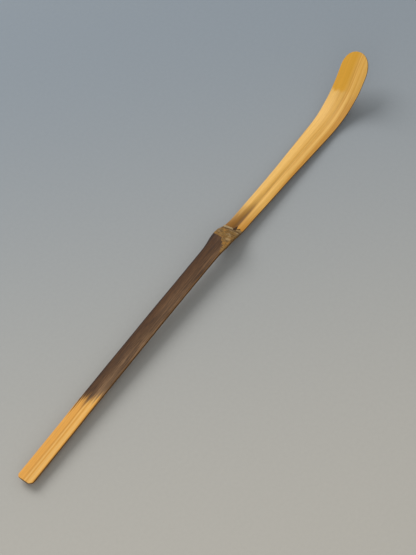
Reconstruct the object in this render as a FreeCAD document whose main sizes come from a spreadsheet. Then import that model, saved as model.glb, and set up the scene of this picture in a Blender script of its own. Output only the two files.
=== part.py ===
"""A bamboo tea scoop: one carved strip of bamboo, as its separate tissues.

The strip is drawn with the front (skin) line of the handle along +X from the cut end, +Y to the left
and +Z out of the skin. At the end the whole strip is turned and lifted, so that it lies on z = 0 on the
back edge of its cut end and on the belly of its bend, with the origin under the middle of its box.
"""
import FreeCAD, Part
import itertools
import math
import os
import sys

import Sketcher

doc = FreeCAD.newDocument("tea_scoop")

# Driving sizes, in millimetres and degrees.
SIZES = [
    ("handle_length", 91.5, "cut end to where the node begins to swell"),
    ("handle_width", 5.2, "across the skin"),
    ("handle_thick", 2.8, "skin to planed back"),
    ("pale_length", 29.5, "skin that the smoke did not stain"),
    ("rind_thick", 0.55, "hard outer skin"),
    ("edge_thick", 0.15, "wood left square below the skin at each side"),
    ("crown_rise", 0.15, "middle of the skin above its edges"),
    ("back_flat", 3.0, "flat strip left along the back"),
    ("right_corner", 0.95, "corner cut off the right of the cut end"),
    ("left_corner", 0.6, "corner cut off the left of the cut end"),
    ("swell_length", 5.0, "swelling before the crest of the node"),
    ("fall_length", 5.0, "crest of the node to the sheath scar"),
    ("crest_rise", 0.4, "crest above the line of the handle"),
    ("crest_width", 6.3, "widest place of the node"),
    ("crest_thick", 3.5, "crest to back"),
    ("foot_drop", 2.0, "front of the node at the sheath scar, below the line of the handle"),
    ("foot_width", 5.85, "node at the sheath scar"),
    ("foot_thick", 2.5, "node at the sheath scar"),
    ("scar_length", 0.6, "sheath scar along the strip"),
    ("scar_stand", 0.12, "sheath scar above the node beside it"),
    ("crack_length", 0.4, "open crack beside the sheath scar"),
    ("neck_length", 3.9, "sheath scar's foot to the straight stem"),
    ("neck_drop", 3.0, "straight stem's front, below the line of the handle"),
    ("kink_angle", 3.65, "stem turned down from the line of the handle"),
    ("stem_length", 44.3, "straight stem up to the bend"),
    ("stem_width", 5.65, "stem at the node"),
    ("stem_thick", 2.3, "stem at the node"),
    ("middle_share", 0.6, "how far along the stem its sides begin to spread"),
    ("middle_width", 6.5, "stem where its sides begin to spread"),
    ("bend_radius", 21.7, "skin side of the steamed bend"),
    ("bend_angle", 41.6, "turn of the steamed bend"),
    ("bend_width", 7.8, "start of the bend"),
    ("bend_thick", 1.8, "start of the bend"),
    ("blade_length", 12.8, "end of the bend to the tip"),
    ("blade_width", 9.15, "end of the bend"),
    ("blade_thick", 1.6, "end of the bend"),
    ("tip_width", 9.3, "widest place of the blade"),
    ("tip_thick", 1.1, "end of the blade"),
    ("tip_depth", 6.2, "length of the rounded end of the blade"),
    ("groove_side", 0.3, "groove's line to the right of the middle"),
    ("groove_width", 2.4, "groove at the node"),
    ("groove_depth", 0.3, "groove at the node"),
    ("dish_width", 5.0, "hollow that the groove becomes on the blade"),
    ("dish_depth", 0.22, "hollow that the groove becomes on the blade"),
    ("bud_width", 1.1, "bud scar at the foot of the groove"),
    ("bud_length", 2.2, "bud scar along the groove"),
    ("bud_sink", 0.1, "top of the bud scar below the skin"),
    ("stub_width", 2.2, "remnant of the partition across the back"),
    ("stub_length", 1.4, "remnant of the partition along the back"),
    ("stub_depth", 0.6, "remnant of the partition into the node"),
    ("stub_stand", 0.15, "remnant of the partition proud of the back"),
]
BEND_STEPS = 5

# How far the groove has spread out towards the blade's hollow, and how much of the crown is lost.
GROOVE_SPREAD = {"node": 0.0, "neck": 0.03, "middle": 0.35, "bend": 0.6, "blade": 0.8, "tip": 1.0}
CROWN_LOST = {"bend": 0.3, "blade": 0.7}

sheet = doc.addObject("Spreadsheet::Sheet", "Sizes")


def cell(row, name, value, note):
    """Write one named row of the sheet."""
    sheet.set(f"A{row}", note)
    sheet.set(f"B{row}", str(value))
    sheet.setAlias(f"B{row}", name)


rows = itertools.count(1)
for name, value, note in SIZES:
    cell(next(rows), name, value, note)


def mix(low, high, share):
    """A formula that lies a share of the way from one named size to another."""
    return f"({low} + ({high} - {low}) * ({share}))"


# Stations: named cross-sections of the strip. Each has the place of its skin line, its downward turn and
# its sizes, all as formulas of the driving sizes.
PARTS_OF_STATION = ("place", "height", "turn", "width", "thick", "crown", "groove_w", "groove_d")
TURNED = {}


def station(name, place, height, turn, width, thick, crown="crown_rise", groove=("0", "0")):
    """Add one cross-section to the sheet as a block of formula cells."""
    formulas = (place, height, turn, width, thick, crown, groove[0], groove[1])
    for part, formula in zip(PARTS_OF_STATION, formulas):
        alias = f"at_{name}_{part}"
        cell(next(rows), alias, f"={formula}", alias.replace("_", " "))
    TURNED[name] = turn != "0"
    doc.recompute()


def groove_at(share):
    """Width and depth of the groove, a share of the way from the node to the tip."""
    return mix("groove_width", "dish_width", share), mix("groove_depth", "dish_depth", share)


CREST = "handle_length + swell_length"
FOOT = f"{CREST} + fall_length"
station("cut_end", "0", "0", "0", "handle_width", "handle_thick")
station("stain", "pale_length", "0", "0", "handle_width", "handle_thick")
station("swell", "handle_length", "0", "0", "handle_width", "handle_thick")
station("crest", CREST, "crest_rise", "0", "crest_width", "crest_thick")
station("foot", FOOT, "-foot_drop", "0", "foot_width", "foot_thick",
        groove=groove_at(GROOVE_SPREAD["node"]))

LIP = "(scar_length + crack_length) / neck_length"
station("lip", f"{FOOT} + scar_length + crack_length", mix("-foot_drop", "-neck_drop", LIP), "0",
        mix("foot_width", "stem_width", LIP), mix("foot_thick", "stem_thick", LIP),
        groove=groove_at(GROOVE_SPREAD["node"]))
station("neck", f"{FOOT} + neck_length", "-neck_drop", "0", "stem_width", "stem_thick",
        groove=groove_at(GROOVE_SPREAD["neck"]))


def along_stem(length):
    """Place and height of a point of the skin line, so far along the straight stem."""
    return (f"at_neck_place + ({length}) * cos(kink_angle)", f"at_neck_height - ({length}) * sin(kink_angle)")


station("middle", *along_stem("stem_length * middle_share"), "kink_angle", "middle_width",
        mix("stem_thick", "bend_thick", "middle_share"), groove=groove_at(GROOVE_SPREAD["middle"]))
station("bend_0", *along_stem("stem_length"), "kink_angle", "bend_width", "bend_thick",
        mix("crown_rise", "0", CROWN_LOST["bend"]), groove_at(GROOVE_SPREAD["bend"]))
for step in range(1, BEND_STEPS + 1):
    share = step / BEND_STEPS
    turn = f"kink_angle - bend_angle * {share}"
    station(f"bend_{step}",
            f"at_bend_0_place + bend_radius * (sin(kink_angle) - sin({turn}))",
            f"at_bend_0_height + bend_radius * (cos(kink_angle) - cos({turn}))",
            turn,
            mix("bend_width", "blade_width", share),
            mix("bend_thick", "blade_thick", share),
            mix("crown_rise", "0", mix(CROWN_LOST["bend"], CROWN_LOST["blade"], share)),
            groove_at(mix(GROOVE_SPREAD["bend"], GROOVE_SPREAD["blade"], share)))
LAST = f"bend_{BEND_STEPS}"
station("tip", f"at_{LAST}_place + blade_length * cos(at_{LAST}_turn)",
        f"at_{LAST}_height - blade_length * sin(at_{LAST}_turn)", f"at_{LAST}_turn", "tip_width", "tip_thick",
        "0", groove_at(GROOVE_SPREAD["tip"]))


def size(formula):
    """The value of a formula of the sheet's names."""
    return float(sheet.evalExpression(formula))


def bind(thing, path, formula):
    """Tie a property to a formula, with the sheet's names looked up in the sheet."""
    words = []
    word = ""
    for letter in formula + " ":
        if letter.isalnum() or letter in "_.":
            word += letter
            continue
        known = word and sheet.getCellFromAlias(word)
        words.append((f"Sizes.{word}" if known else word) + letter)
        word = ""
    thing.setExpression(path, "".join(words).strip())


def new_body(label):
    """An empty body whose label is the name of its sub-part."""
    body = doc.addObject("PartDesign::Body", label)
    body.Label = label
    doc.recompute()
    return body


def new_sketch(body, name, plane, place="0", height="0", turn="0"):
    """A sketch on one of the body's own planes, moved along the strip and turned down with it."""
    sketch = body.newObject("Sketcher::SketchObject", f"{body.Label}_{name}")
    base = next(f for f in body.Origin.OriginFeatures if f.Role == plane)
    sketch.AttachmentSupport = [(base, "")]
    sketch.MapMode = "FlatFace"
    across = FreeCAD.Vector(1, 0, 0) if plane == "YZ_Plane" else FreeCAD.Vector(0, 1, 0)
    if turn != "0":
        sketch.AttachmentOffset = FreeCAD.Placement(FreeCAD.Vector(), FreeCAD.Rotation(across, 1.0))
        bind(sketch, "AttachmentOffset.Rotation.Angle", turn)
    along, up = ("z", "y") if plane == "YZ_Plane" else ("x", "z")
    bind(sketch, f"AttachmentOffset.Base.{along}", place)
    bind(sketch, f"AttachmentOffset.Base.{up}", height)
    return sketch


def pin(sketch, geometry, end, across, up):
    """Hold one end of an edge at two formulas, measured from the sketch's origin."""
    for kind, formula in (("DistanceX", across), ("DistanceY", up)):
        held = sketch.addConstraint(Sketcher.Constraint(kind, -1, 1, geometry, end, size(formula)))
        bind(sketch, f"Constraints[{held}]", formula)


def outline(sketch, points):
    """A closed outline through points, each given as two formulas."""
    corners = [FreeCAD.Vector(size(across), size(up), 0) for across, up in points]
    start = sketch.GeometryCount
    count = len(points)
    for index in range(count):
        sketch.addGeometry(Part.LineSegment(corners[index], corners[(index + 1) % count]), False)
    for index in range(count):
        following = start + (index + 1) % count
        sketch.addConstraint(Sketcher.Constraint("Coincident", start + index, 2, following, 1))
    for index, (across, up) in enumerate(points):
        pin(sketch, start + index, 1, across, up)


# Outlines of the cross-sections. Each goes round from the left edge of the skin.

def smooth_front(at):
    """The crowned skin of the handle and node, left to right."""
    edge, half = f"at_{at}_width / 2", f"at_{at}_width / 4"
    return [
        (edge, f"-at_{at}_crown"),
        (half, f"-at_{at}_crown / 4"),
        ("0", "0"),
        (f"-{half}", f"-at_{at}_crown / 4"),
        (f"-{edge}", f"-at_{at}_crown"),
    ]


def grooved_front(at):
    """The skin of the stem, with the two lips and the bottom of the groove, left to right."""
    edge, lip = f"at_{at}_width / 2", f"at_{at}_groove_w / 2"
    return [
        (edge, f"-at_{at}_crown"),
        (f"{lip} - groove_side", "0"),
        ("-groove_side", f"-at_{at}_groove_d"),
        (f"-{lip} - groove_side", "0"),
        (f"-{edge}", f"-at_{at}_crown"),
    ]


def level(at):
    """The underside of the skin, left to right."""
    edge = f"at_{at}_width / 2"
    return [(edge, "-rind_thick"), (f"-{edge}", "-rind_thick")]


def back(at):
    """The wood's narrow sides, bevels and flat back, right to left."""
    edge = f"at_{at}_width / 2"
    flat = f"back_flat / 2 * at_{at}_width / handle_width"
    return [
        (f"-{edge}", "-rind_thick - edge_thick"),
        (f"-{flat}", f"-at_{at}_thick"),
        (flat, f"-at_{at}_thick"),
        (edge, "-rind_thick - edge_thick"),
    ]


def section(body, at, points):
    """A sketch of one cross-section, standing across the strip at a station."""
    turn = f"at_{at}_turn" if TURNED[at] else "0"
    sketch = new_sketch(body, at, "YZ_Plane", f"at_{at}_place", f"at_{at}_height", turn)
    outline(sketch, points)
    doc.recompute()
    return sketch


def pad_along(body, at, points, length):
    """A straight run of one cross-section."""
    sketch = section(body, at, points)
    pad = body.newObject("PartDesign::Pad", f"{body.Label}_pad")
    pad.Profile = (sketch, [""])
    bind(pad, "Length", length)
    doc.recompute()
    return body


def loft_through(body, stations, shape):
    """A ruled run through the same outline at several stations."""
    sketches = [section(body, at, shape(at)) for at in stations]
    loft = body.newObject("PartDesign::AdditiveLoft", f"{body.Label}_loft")
    loft.Profile = (sketches[0], [""])
    loft.Sections = [(sketch, [""]) for sketch in sketches[1:]]
    loft.Ruled = True
    doc.recompute()
    return body


RIGHT_THROUGH = "20 * handle_thick"  # Longer than any way through the strip.


def cut(body, sketch, depth=None):
    """Cut a sketch out of the body: so deep on its inner side, or right through. It must remove wood."""
    before = body.Shape.Volume
    pocket = body.newObject("PartDesign::Pocket", f"{sketch.Label}_cut")
    pocket.Profile = (sketch, [""])
    pocket.Type = "Length"
    if depth is None:
        pocket.SideType = "Symmetric"
        bind(pocket, "Length", RIGHT_THROUGH)
    else:
        pocket.Reversed = True
        bind(pocket, "Length", depth)
    doc.recompute()
    if not body.Shape.Volume < before:
        sys.exit(f"{sketch.Label} removes nothing")
    return body


def trim_cut_end(body):
    """Take the two corners off the square cut end."""
    sketch = new_sketch(body, "corners", "XY_Plane")
    for side, corner in (("-", "right_corner"), ("", "left_corner")):
        edge = f"{side}handle_width / 2"
        inner = f"{side}(handle_width / 2 - {corner})"
        points = [("0", edge), (corner, edge), ("0", inner)]
        outline(sketch, points)
    doc.recompute()
    return cut(body, sketch)


def trim_tip(body):
    """Round the end of the blade with one arc, square to the blade."""
    sketch = new_sketch(body, "round", "XY_Plane", f"at_{LAST}_place", f"at_{LAST}_height", f"at_{LAST}_turn")
    start, spare = "blade_length - tip_depth", "tip_width"
    chord = "tip_width / 2"
    points = [
        (start, chord),
        (start, f"{chord} + {spare}"),
        (f"blade_length + {spare}", f"{chord} + {spare}"),
        (f"blade_length + {spare}", f"-{chord} - {spare}"),
        (start, f"-{chord} - {spare}"),
        (start, f"-{chord}"),
    ]
    corners = [FreeCAD.Vector(size(along), size(across), 0) for along, across in points]
    for index in range(len(points) - 1):
        sketch.addGeometry(Part.LineSegment(corners[index], corners[index + 1]), False)
    nose = FreeCAD.Vector(size("blade_length"), 0, 0)
    arc = sketch.addGeometry(Part.Arc(corners[-1], nose, corners[0]), False)
    for index in range(len(points) - 2):
        sketch.addConstraint(Sketcher.Constraint("Coincident", index, 2, index + 1, 1))
    for index in range(len(points) - 1):
        pin(sketch, index, 1, *points[index])
    pin(sketch, len(points) - 2, 2, *points[-1])
    sketch.addConstraint(Sketcher.Constraint("Coincident", len(points) - 2, 2, arc, 1))
    sketch.addConstraint(Sketcher.Constraint("Coincident", arc, 2, 0, 1))
    radius = f"(({chord}) ^ 2 + tip_depth ^ 2) / (2 * tip_depth)"
    held = sketch.addConstraint(Sketcher.Constraint("Radius", arc, size(radius)))
    bind(sketch, f"Constraints[{held}]", radius)
    doc.recompute()
    return cut(body, sketch)


def bud_sketch(body):
    """The wedge of the bud scar, drawn on the wood that it sits on, from the sheath scar up the groove."""
    slope = "atan((neck_drop - foot_drop) / neck_length)"
    sketch = new_sketch(body, "bud", "XY_Plane", "at_foot_place", "at_foot_height - rind_thick", slope)
    start = f"scar_length / cos({slope})"
    outline(sketch, [
        (start, "-groove_side + bud_width / 2"),
        (f"{start} + bud_length", "-groove_side"),
        (start, "-groove_side - bud_width / 2"),
    ])
    doc.recompute()
    return sketch


def stub_sketch(body):
    """The remnant of the partition, drawn on the sloping back between the crest and the foot."""
    high, low = "(crest_rise - crest_thick)", "(-foot_drop - foot_thick)"
    slope = f"atan(({high} - {low}) / fall_length)"
    sketch = new_sketch(body, "stub", "XY_Plane", CREST, high, slope)
    middle = f"fall_length / cos({slope}) / 2"
    across, along = "stub_width / 2", "stub_length / 2"
    outline(sketch, [
        (f"{middle} - {along}", across),
        (f"{middle} + {along}", across),
        (f"{middle} + {along}", f"-{across}"),
        (f"{middle} - {along}", f"-{across}"),
    ])
    doc.recompute()
    return sketch


def handle_core():
    body = new_body("handle_core")
    pad_along(body, "cut_end", level("cut_end") + back("cut_end"), "handle_length")
    return trim_cut_end(body)


def handle_rind_pale():
    body = new_body("handle_rind_pale")
    pad_along(body, "cut_end", smooth_front("cut_end") + level("cut_end")[::-1], "pale_length")
    return trim_cut_end(body)


def handle_rind_smoked():
    body = new_body("handle_rind_smoked")
    skin = smooth_front("stain") + level("stain")[::-1]
    return pad_along(body, "stain", skin, "handle_length - pale_length")


def node_ring():
    body = new_body("node_ring")
    loft_through(body, ("swell", "crest", "foot"), lambda at: smooth_front(at) + back(at))
    return cut(body, stub_sketch(body), "stub_depth")


def diaphragm_stub():
    body = new_body("diaphragm_stub")
    sketch = stub_sketch(body)
    pad = body.newObject("PartDesign::Pad", "diaphragm_stub_pad")
    pad.Profile = (sketch, [""])
    pad.SideType = "Two sides"
    bind(pad, "Length", "stub_depth")
    bind(pad, "Length2", "stub_stand")
    doc.recompute()
    return body


def sheath_scar():
    body = new_body("sheath_scar")
    lifted = [(across, f"{up} + scar_stand") for across, up in smooth_front("foot")]
    return pad_along(body, "foot", lifted + level("foot")[::-1], "scar_length")


def bud_scar():
    body = new_body("bud_scar")
    pad = body.newObject("PartDesign::Pad", "bud_scar_pad")
    pad.Profile = (bud_sketch(body), [""])
    bind(pad, "Length", "rind_thick - bud_sink")
    doc.recompute()
    return body


STEM = ("neck", "middle", *(f"bend_{step}" for step in range(BEND_STEPS + 1)), "tip")


def stem_core():
    body = new_body("stem_core")
    loft_through(body, ("foot", *STEM), lambda at: level(at) + back(at))
    return trim_tip(body)


def stem_rind():
    body = new_body("stem_rind")
    loft_through(body, ("lip", *STEM), lambda at: grooved_front(at) + level(at)[::-1])
    trim_tip(body)
    return cut(body, bud_sketch(body))


bodies = [
    handle_core(),
    handle_rind_pale(),
    handle_rind_smoked(),
    node_ring(),
    diaphragm_stub(),
    sheath_scar(),
    bud_scar(),
    stem_core(),
    stem_rind(),
]

# The strip lies on the lower edge of its cut end and on the lowest place of its belly.
corners = [vertex.Point for body in bodies for vertex in body.Shape.Vertexes]
heel = FreeCAD.Vector(0, 0, -size("handle_thick"))
tilt = min(math.atan2(p.z - heel.z, p.x - heel.x) for p in corners if p.x > size("handle_length"))
turned = FreeCAD.Rotation(FreeCAD.Vector(0, 1, 0), math.degrees(tilt))
for body in bodies:
    body.Placement = FreeCAD.Placement(FreeCAD.Vector(), turned)
doc.recompute()
box = Part.makeCompound([body.Shape for body in bodies]).optimalBoundingBox(False)
lift = FreeCAD.Vector(-(box.XMin + box.XMax) / 2, 0, -turned.multVec(heel).z)
for body in bodies:
    body.Placement = FreeCAD.Placement(lift, turned)
doc.recompute()

for thing in doc.Objects:
    if "Invalid" in thing.State or "Error" in thing.State:
        sys.exit(f"{thing.Label} failed")
for body in bodies:
    if body.Shape.isNull() or not body.Shape.isValid() or len(body.Shape.Solids) != 1:
        sys.exit(f"{body.Label} is not one good solid")

os.makedirs("parts", exist_ok=True)
for body in bodies:
    body.Shape.exportStep(f"parts/{body.Label}.step")
    print(f"{body.Label}: {body.Shape.Volume:.2f} mm3")
box = Part.makeCompound([body.Shape for body in bodies]).optimalBoundingBox(False)
print(f"tilt {math.degrees(tilt):.3f}, box {box}")
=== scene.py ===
"""A carved bamboo tea scoop: the finished looks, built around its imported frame."""
import math

import bmesh
import bpy
from mathutils import Matrix, Vector, noise


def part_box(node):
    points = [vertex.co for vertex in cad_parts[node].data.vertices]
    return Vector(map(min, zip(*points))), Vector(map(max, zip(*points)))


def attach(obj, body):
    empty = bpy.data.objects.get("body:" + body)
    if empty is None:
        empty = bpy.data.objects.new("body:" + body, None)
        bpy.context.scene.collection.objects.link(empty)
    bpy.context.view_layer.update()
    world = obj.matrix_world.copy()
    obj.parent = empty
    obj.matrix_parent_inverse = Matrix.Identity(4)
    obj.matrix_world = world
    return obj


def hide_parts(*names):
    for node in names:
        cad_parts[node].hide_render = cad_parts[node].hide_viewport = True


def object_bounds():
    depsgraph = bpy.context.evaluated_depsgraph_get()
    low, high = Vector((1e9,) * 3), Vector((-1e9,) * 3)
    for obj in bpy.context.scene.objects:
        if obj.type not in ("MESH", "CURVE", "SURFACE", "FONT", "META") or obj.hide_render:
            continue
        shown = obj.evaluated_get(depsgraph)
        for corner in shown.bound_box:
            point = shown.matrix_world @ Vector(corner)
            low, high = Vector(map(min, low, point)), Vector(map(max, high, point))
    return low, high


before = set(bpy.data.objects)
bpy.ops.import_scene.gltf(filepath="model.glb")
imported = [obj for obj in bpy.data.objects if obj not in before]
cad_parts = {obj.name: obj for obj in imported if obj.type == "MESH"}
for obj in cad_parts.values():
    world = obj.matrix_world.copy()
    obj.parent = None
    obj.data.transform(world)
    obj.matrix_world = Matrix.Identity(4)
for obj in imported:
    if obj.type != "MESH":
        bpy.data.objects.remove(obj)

bl_info = {
    "name": "Bamboo Tea Scoop",
    "version": (1, 0, 0),
    "blender": (4, 5, 0),
    "location": "3D View > Sidebar > Tea Scoop",
    "description": "Carves, bends and colours a bamboo tea scoop, tissue by tissue",
    "category": "Object",
}

CAD_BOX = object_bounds()
MM = 0.001
BODY = "root"


def drop_between(first, second):
    """How much higher the top of one node's box is than another's, in millimetres."""
    return (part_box(first)[1].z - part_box(second)[1].z) / MM


def length(name, description, default, least=-1.0):
    """A length in metres that a user may change."""
    return bpy.props.FloatProperty(
        name=name, description=description, default=default, min=least, unit="LENGTH")


def angle(name, description, degrees):
    """An angle that a user may change."""
    return bpy.props.FloatProperty(
        name=name, description=description, default=math.radians(degrees), subtype="ANGLE", unit="ROTATION")


def colour(name, description, *screen):
    """A colour that a user may change, its default given as it looks on a screen, 0 to 255."""
    values = []
    for value in screen:
        share = value / 255
        values.append(share / 12.92 if share <= 0.04045 else ((share + 0.055) / 1.055) ** 2.4)
    return bpy.props.FloatVectorProperty(
        name=name, description=description, default=values, size=3, min=0, max=1, subtype="COLOR")


class ScoopSizes(bpy.types.PropertyGroup):
    """Sizes that the scoop is carved to."""

    handle_length: length("Handle length", "Cut end to where the node begins to swell", 0.0915, 0.05)
    pale_length: length("Pale length", "Skin at the cut end that the smoke hardly reached", 0.0295, 0.01)
    handle_width: length("Handle width", "Across the skin of the handle", 0.0052, 0.002)
    handle_thickness: length("Handle thickness", "Skin to planed back", 0.0028, 0.001)
    skin_thickness: length("Skin thickness", "Hard outer skin of the bamboo", 0.00055, 0.0002)
    crest_rise: length("Crest rise", "Crest of the node above the line of the handle", 0.0004)
    neck_drop: length("Neck drop", "Stem's skin below the line of the handle, just past the node", 0.003)
    kink: angle("Kink", "Stem turned down from the line of the handle", 3.65)
    stem_length: length("Stem length", "Straight stem between the node and the bend", 0.0443, 0.02)
    bend_radius: length("Bend radius", "Skin side of the steamed bend", 0.0217, 0.01)
    bend_angle: angle("Bend angle", "Turn of the steamed bend", 41.6)
    blade_length: length("Blade length", "End of the bend to the tip", 0.0128, 0.005)
    blade_width: length("Blade width", "Widest place of the blade", 0.0093, 0.004)
    edge_round: length("Edge round", "Radius that handling has worn on the long edges", 0.00014, 0.00001)


class ScoopColours(bpy.types.PropertyGroup):
    """Colours of the bamboo and the floor."""

    golden: colour("Golden skin", "Aged skin of the handle's pale end", 214, 151, 58)
    straw: colour("Straw skin", "Brighter skin of the stem", 210, 162, 80)
    # Pale streaks: the lightest fibres of the skin, and also the colour of painted highlights and painted
    # light on the skin.
    pale_streak_and_highlight: colour("Pale streaks", "Lightest fibres of the skin", 230, 184, 106)
    # Honey streaks: deeper fibres of the skin, and also the colour of painted shade on the stem's right
    # shoulder.
    honey_and_shade: colour("Honey streaks", "Deeper fibres of the skin", 182, 124, 42)
    # Ochre: the blade's skin deepened by tea, and also painted shade where the blade's left half misses the
    # reflection that the stem catches.
    ochre: colour("Ochre", "Skin of the blade, deepened by tea", 207, 150, 40)
    russet: colour("Russet", "Skin just past the node", 130, 86, 30)
    # Umber: dark fibres and vessels, and also the colour of painted shade in the groove and on the edges
    # and sides of the skin and wood.
    umber_and_shade: colour("Umber", "Dark foot of the groove and the edges of the skin", 96, 62, 22)
    smoked: colour("Smoked skin", "Skin darkened by hearth smoke", 76, 48, 23)
    singed: colour("Singed skin", "Skin where the smoke stain is thinner", 126, 97, 68)
    # Soot: the darkest grain of the smoked skin, and also the colour of painted shade in the crack past the
    # sheath scar.
    soot: colour("Soot", "Darkest grain of the smoked skin", 46, 30, 20)
    olive: colour("Node", "Rough olive brown tissue on the slope of the node", 124, 94, 48)
    # Bark: dark creases of the node, and also the colour of painted shade in the crevice before the sheath
    # scar.
    bark_and_shade: colour("Bark", "Dark creases of the node", 72, 50, 28)
    cork: colour("Cork", "Pale corky rim of the sheath scar", 170, 146, 108)
    flesh: colour("Flesh", "Knife-cut wood of the sides and back", 172, 122, 60)
    # The two floor colours are painted light: cooler and darker further away, warmer and lighter nearer the
    # camera.
    floor: colour("Floor", "Plain matt floor, where it is cooler and further away", 130, 138, 144)
    floor_near_painted_light: colour("Floor, near", "Plain matt floor, where it is warmer and nearer", 173, 169, 159)


class StudioPlaces(bpy.types.PropertyGroup):
    """Where the camera stands and how strong the lamps are."""

    distance: length("Camera distance", "Camera to the point on the floor that it looks at", 0.49751)
    azimuth: angle("Camera azimuth", "Direction the camera looks in, round from +X", 41.644)
    elevation: angle("Camera elevation", "How steeply the camera looks down", 57.129)
    roll: angle("Camera roll", "Camera leant over to its right", 6.734)
    lens: bpy.props.FloatProperty(
        name="Lens", description="Focal length", default=106.03, unit="CAMERA")
    aim: bpy.props.FloatVectorProperty(
        name="Aim", description="Point on the floor that the camera looks at, from the cut end",
        default=(0.08522, -0.00252, 0.0), size=3, subtype="TRANSLATION", unit="LENGTH")
    key: bpy.props.FloatProperty(
        name="Window light", description="Strength of the large soft lamp, in watts",
        default=9.0, min=0, unit="POWER")
    fill: bpy.props.FloatProperty(
        name="Fill light", description="Strength of the lamp opposite the window, in watts",
        default=2.2, min=0, unit="POWER")


# The strip as a carver has it: straight, with its skin up. A point of it is (along, across, up) in
# millimetres, and steam() bends it to its final place.

def blend(low, high, share):
    return low + (high - low) * share


def ease(start, end, value):
    """0 before start, 1 after end and a smooth step between."""
    share = min(max((value - start) / (end - start), 0.0), 1.0)
    return share * share * (3 - 2 * share)


def uneven(*place):
    """Smooth unevenness from -1 to 1, the same each time at a place."""
    return noise.noise(Vector(place))


def wander(along, seed, size, reach):
    """A slow wavering that a knife leaves."""
    return size * uneven(along / reach, seed, seed * 0.37)


def lean_at(stops, index):
    """Slope of a smooth curve at one of its stops, level where the stops turn back."""
    if index in (0, len(stops) - 1):
        return 0.0
    (x0, y0), (x1, y1), (x2, y2) = stops[index - 1:index + 2]
    before, after = (y1 - y0) / (x1 - x0), (y2 - y1) / (x2 - x1)
    return 2 * before * after / (before + after) if before * after > 0 else 0.0


def through(stops, value):
    """A smooth curve through stops, each a place and a height, level outside them."""
    if value <= stops[0][0]:
        return stops[0][1]
    if value >= stops[-1][0]:
        return stops[-1][1]
    index = next(i for i in range(1, len(stops)) if value <= stops[i][0])
    (start, low), (end, high) = stops[index - 1], stops[index]
    span = end - start
    share = (value - start) / span
    rest = 1 - share
    level = low * (1 + 2 * share) * rest * rest + high * (1 + 2 * rest) * share * share
    leave = lean_at(stops, index - 1) * share * rest * rest
    arrive = lean_at(stops, index) * share * share * rest
    return level + span * (leave - arrive)


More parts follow.
